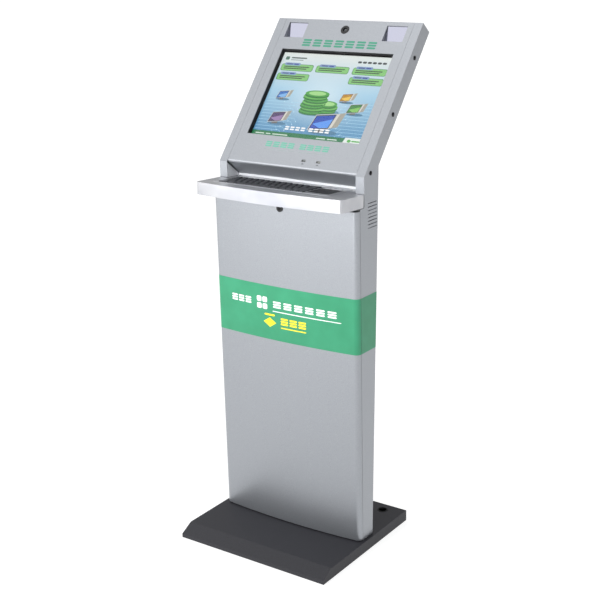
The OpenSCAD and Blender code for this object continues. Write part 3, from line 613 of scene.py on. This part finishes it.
# lacquer leaves the laminate half glossy; its mottling is drawn coarser than the weave
laminate = new_material("green circuit laminate", "1F6A3A", 0.35)
break_up(laminate, 4.0, detail=4.0, tones=("17552E", "2A7A46"))
finish(laminate, "pc_mainboard", "lcd_driver_board")

# light grey ABS is evenly pale, with a broad dull highlight
abs_grey = new_material("light grey moulded ABS", "D6D6D0", 0.45)
break_up(abs_grey, 6.0, gloss=(0.4, 0.5))
finish(abs_grey, "power_strip")

# polycarbonate is glossy, so the rocker is a clear bright red
red = new_material("red polycarbonate rocker", "B3201C", 0.25)
break_up(red, 5.0, gloss=(0.2, 0.3))
finish(red, "rocker_switch")

# ---------------------------------------------------------------- floor, light and camera
# A plain pale floor and a white surround that lights most from high up at the left front.
# Soft boxes hang at the left front, right and top; a narrow one in front lights the recess.

# the floor is dull and glows a little, so that it stays as pale as the surround
floor_paint = new_material(
    "pale studio floor", "A8A8A8", 0.8, Emission_Color=(1, 1, 1, 1), Emission_Strength=0.78)
break_up(floor_paint, 400.0, gloss=(0.75, 0.85))
FLOOR_R = 60
floor_mesh = bpy.data.meshes.new("studio_floor")
floor_mesh.from_pydata([(-FLOOR_R, -FLOOR_R, 0), (FLOOR_R, -FLOOR_R, 0),
                        (FLOOR_R, FLOOR_R, 0), (-FLOOR_R, FLOOR_R, 0)], [], [(0, 1, 2, 3)])
floor_mesh.materials.append(floor_paint)
studio_floor = bpy.data.objects.new("studio_floor", floor_mesh)
bpy.context.collection.objects.link(studio_floor)

# the surround looks plain white, while its light on the object falls off round the sky
world = bpy.data.worlds.new("white surround")
bpy.context.scene.world = world
world.use_nodes = True
world.node_tree.nodes.clear()
heading = add_node(world.node_tree, "ShaderNodeTexCoord").outputs["Generated"]
above_left = add_node(world.node_tree, "ShaderNodeVectorMath",
                      {1: (-0.5, -0.45, 0.74)}, {0: heading}, operation="DOT_PRODUCT")
glow = add_node(world.node_tree, "ShaderNodeMapRange",
                {"From Min": -0.2, "From Max": 1.0, "To Min": 0.12, "To Max": 1.2},
                {"Value": above_left.outputs["Value"]}).outputs[0]
surround = add_node(world.node_tree, "ShaderNodeBackground", {"Color": (1.0, 1.0, 1.0, 1.0)},
                    {"Strength": glow})
seen = add_node(world.node_tree, "ShaderNodeBackground",
                {"Color": (1.0, 1.0, 1.0, 1.0), "Strength": 1.0})
ray = add_node(world.node_tree, "ShaderNodeLightPath").outputs["Is Camera Ray"]
mixed = add_node(world.node_tree, "ShaderNodeMixShader", links={
    "Fac": ray, 1: surround.outputs[0], 2: seen.outputs[0]})
add_node(world.node_tree, "ShaderNodeOutputWorld", links={"Surface": mixed.outputs[0]})


def soft_box(name, place, target, size, power, spread=180):
    """A square area light at place that faces target; a grid narrows it to spread degrees."""
    data = bpy.data.lights.new(name, "AREA")
    data.shape, data.size, data.energy = "SQUARE", size, power
    data.spread = math.radians(spread)
    lamp = bpy.data.objects.new(name, data)
    back = np.array(place, float) - np.array(target, float)
    back /= np.linalg.norm(back)
    side = np.cross([0, 0, 1], back)
    side /= np.linalg.norm(side)
    up = np.cross(back, side)
    turn = Matrix(np.column_stack([side, up, back]).tolist()).to_4x4()
    lamp.matrix_world = Matrix.Translation(place) @ turn
    bpy.context.collection.objects.link(lamp)


soft_box("key_box", (-1.35, -1.9, 1.3), (0, 0, 1.05), 1.2, 11)
soft_box("front_box", (0.1, -2.1, 1.4), (0, 0.05, 1.1), 0.6, 2.8, spread=45)
soft_box("right_box", (3.2, -0.9, 1.6), (0, 0, 0.9), 1.5, 2.5)
soft_box("top_box", (0.2, -0.2, 4.2), (0, 0.01, 0.6), 2.6, 27)

YAW, PITCH_DOWN, ROLL = math.radians(34.6), math.radians(17.7), math.radians(-1.1)
CAMERA_AT = (1.8980, -2.5899, 1.7160)
LENS_MM, SHIFT = 72.52, (-0.037, 0.0092)
ahead = np.array([-math.sin(YAW) * math.cos(PITCH_DOWN), math.cos(YAW) * math.cos(PITCH_DOWN),
                  -math.sin(PITCH_DOWN)])
level_side = np.array([math.cos(YAW), math.sin(YAW), 0.0])
level_up = np.cross(level_side, ahead)
cam_side = level_side * math.cos(ROLL) + level_up * math.sin(ROLL)
cam_up = -level_side * math.sin(ROLL) + level_up * math.cos(ROLL)
camera_data = bpy.data.cameras.new("camera")
camera_data.sensor_width = 36.0
camera_data.lens = LENS_MM
camera_data.shift_x, camera_data.shift_y = SHIFT
camera = bpy.data.objects.new("camera", camera_data)
camera.matrix_world = (Matrix.Translation(CAMERA_AT)
                       @ Matrix(np.column_stack([cam_side, cam_up, -ahead]).tolist()).to_4x4())
bpy.context.collection.objects.link(camera)
bpy.context.scene.camera = camera
bpy.context.scene.view_settings.view_transform = "Standard"
